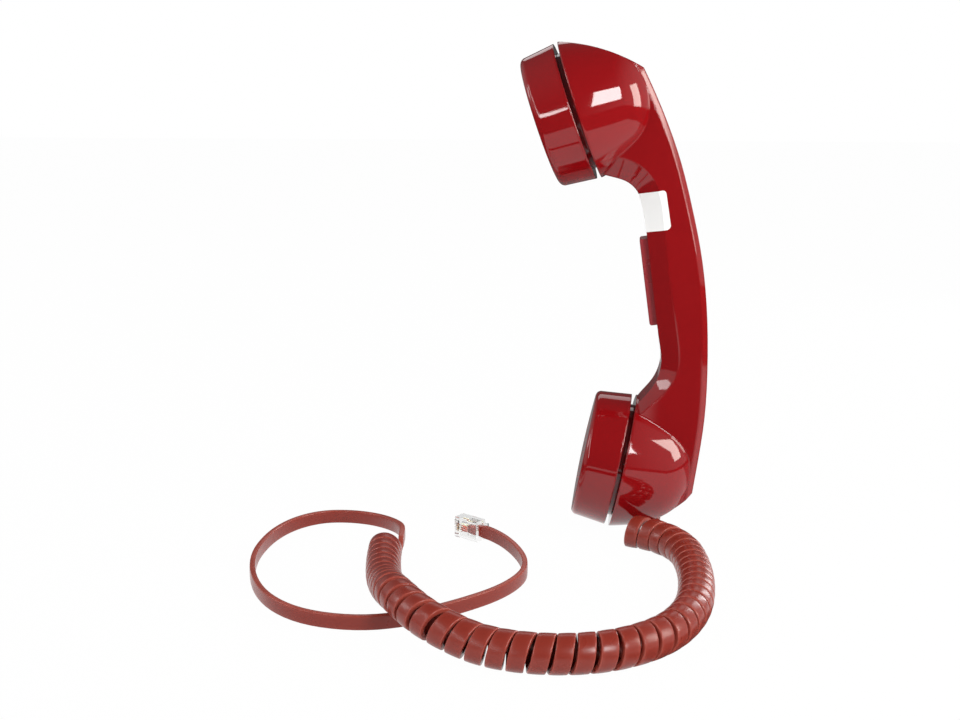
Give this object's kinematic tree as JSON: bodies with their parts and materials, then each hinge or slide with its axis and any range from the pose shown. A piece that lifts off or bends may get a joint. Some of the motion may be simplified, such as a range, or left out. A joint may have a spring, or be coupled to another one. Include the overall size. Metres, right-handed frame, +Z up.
{
  "type": "telephone handset",
  "caption": "Glossy telephone handset with round screw-on caps, a push-to-talk bar in the grip, a flat curly cord and a clear modular plug.",
  "frame": {"origin": "on the surface the handset stands on, below the middle of the handset's own box (the cord left out)", "axes": "+Z up along the handset, -X the side the two caps face, +X the back of the handle, Y across; mirror plane XZ"},
  "size_m": [0.1972, 0.2037, 0.2214],
  "materials": {
    "red_plastic": "glossy moulded red",
    "bar_plastic": "satin moulded red",
    "label": "white adhesive label",
    "cord_jacket": "satin dark red jacket",
    "clear_plastic": "clear moulded plastic",
    "gold_contacts": "gold plated",
    "black_plastic": "black moulded",
    "bright_metal": "plated",
    "magnet_steel": "sintered magnet",
    "copper_winding": "enamelled copper wire",
    "brass_terminals": "plain brass",
    "spring_metal": "spring temper",
    "seal_rubber": "black rubber",
    "lead_insulation": "insulated wire",
    "foam": "open foam"
  },
  "bodies": {
    "handset": {"bar_springs": "spring_metal", "carbon_chamber": "brass_terminals", "contact_cup": "black_plastic", "contact_springs": "spring_metal", "cord_grommet": "cord_jacket", "cord_lead": "cord_jacket", "cord_tail": "cord_jacket", "cup_terminals": "brass_terminals", "curly_cord": "cord_jacket", "foam_plug": "foam", "handset_shell": "red_plastic", "inner_leads": "lead_insulation", "lower_label": "label", "plug_blades": "gold_contacts", "plug_body": "clear_plastic", "receiver_case": "black_plastic", "receiver_coil": "copper_winding", "receiver_diaphragm": "bright_metal", "receiver_grid": "bright_metal", "receiver_magnet": "magnet_steel", "receiver_terminals": "brass_terminals", "switch_screws": "bright_metal", "switch_tabs": "brass_terminals", "talk_switch": "black_plastic", "transmitter_case": "black_plastic", "transmitter_diaphragm": "bright_metal", "transmitter_grid": "bright_metal", "upper_label": "label", "varistor": "black_plastic"},
    "receiver_cap_lift": {"receiver_seal": "seal_rubber"},
    "receiver_cap": {"receiver_cap": "red_plastic"},
    "transmitter_cap_lift": {"transmitter_seal": "seal_rubber"},
    "transmitter_cap": {"transmitter_cap": "red_plastic"},
    "talk_bar": {"talk_bar": "bar_plastic"},
    "switch_plunger": {"switch_plunger": "black_plastic"},
    "plug_latch": {"plug_latch": "clear_plastic"}
  },
  "joints": [
    {"name": "talk_bar_press", "type": "slide", "parent": "handset", "child": "talk_bar", "axis": [0.9898, 0, 0.1426], "range_m": [0, 0.0025], "stiffness_N_per_m": 600, "springref_m": -0.002, "deforming": ["bar_springs"]},
    {"name": "plunger_press", "type": "slide", "parent": "handset", "child": "switch_plunger", "axis": [0.9898, 0, 0.1426], "range_m": [0, 0.0025]},
    {"name": "receiver_cap_rise", "type": "slide", "parent": "handset", "child": "receiver_cap_lift", "axis": [-0.9444, 0, -0.3289], "range_m": [0, 0.0097]},
    {"name": "receiver_cap_turn", "type": "hinge", "parent": "receiver_cap_lift", "child": "receiver_cap", "pos_m": [-0.01757, 0, 0.19148], "axis": [-0.9444, 0, -0.3289], "range_deg": [0, 1080]},
    {"name": "transmitter_cap_rise", "type": "slide", "parent": "handset", "child": "transmitter_cap_lift", "axis": [-0.9816, 0, 0.1908], "range_m": [0, 0.0097]},
    {"name": "transmitter_cap_turn", "type": "hinge", "parent": "transmitter_cap_lift", "child": "transmitter_cap", "pos_m": [0.00473, 0, 0.03094], "axis": [-0.9816, 0, 0.1908], "range_deg": [0, 1080]},
    {"name": "plug_latch_press", "type": "hinge", "parent": "handset", "child": "plug_latch", "pos_m": [-0.06489, -0.02416, 0.00483], "axis": [0, 0, -1], "range_deg": [0, 8], "stiffness_Nm_per_rad": 0.05}
  ],
  "couplings": [
    {"joint": "plunger_press", "follows": "talk_bar_press", "ratio": 1},
    {"joint": "receiver_cap_rise", "follows": "receiver_cap_turn", "m_per_rad": 0.0005093},
    {"joint": "transmitter_cap_rise", "follows": "transmitter_cap_turn", "m_per_rad": 0.0005093}
  ]
}
